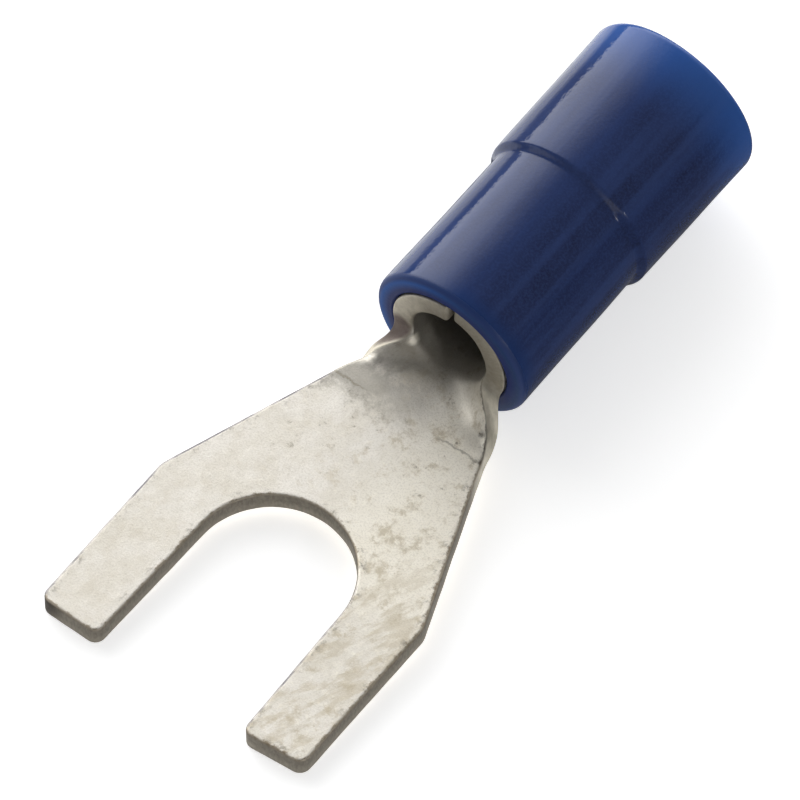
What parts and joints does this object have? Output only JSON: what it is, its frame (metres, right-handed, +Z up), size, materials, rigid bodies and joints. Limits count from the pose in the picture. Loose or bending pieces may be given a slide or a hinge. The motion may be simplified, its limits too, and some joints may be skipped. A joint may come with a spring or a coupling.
{
  "type": "insulated fork terminal",
  "caption": "Insulated crimp fork terminal: a flat forked tongue for a stud, curled into a rolled wire barrel inside a stepped sleeve with a wire entry.",
  "frame": {"origin": "centre of the round end of the stud slot, on the underside of the tongue", "axes": "+Y along the barrel towards the wire, +Z up along the stud out of the tongue's top, +X to the right seen from the tips"},
  "size_m": [0.01, 0.0254, 0.0061],
  "materials": {
    "tinned_copper": "satin tin plating over copper",
    "blue_sleeve": "glossy soft vinyl, a little translucent where thin"
  },
  "bodies": {
    "root": {"fork_terminal": "tinned_copper", "insulating_sleeve": "blue_sleeve"}
  },
  "joints": []
}
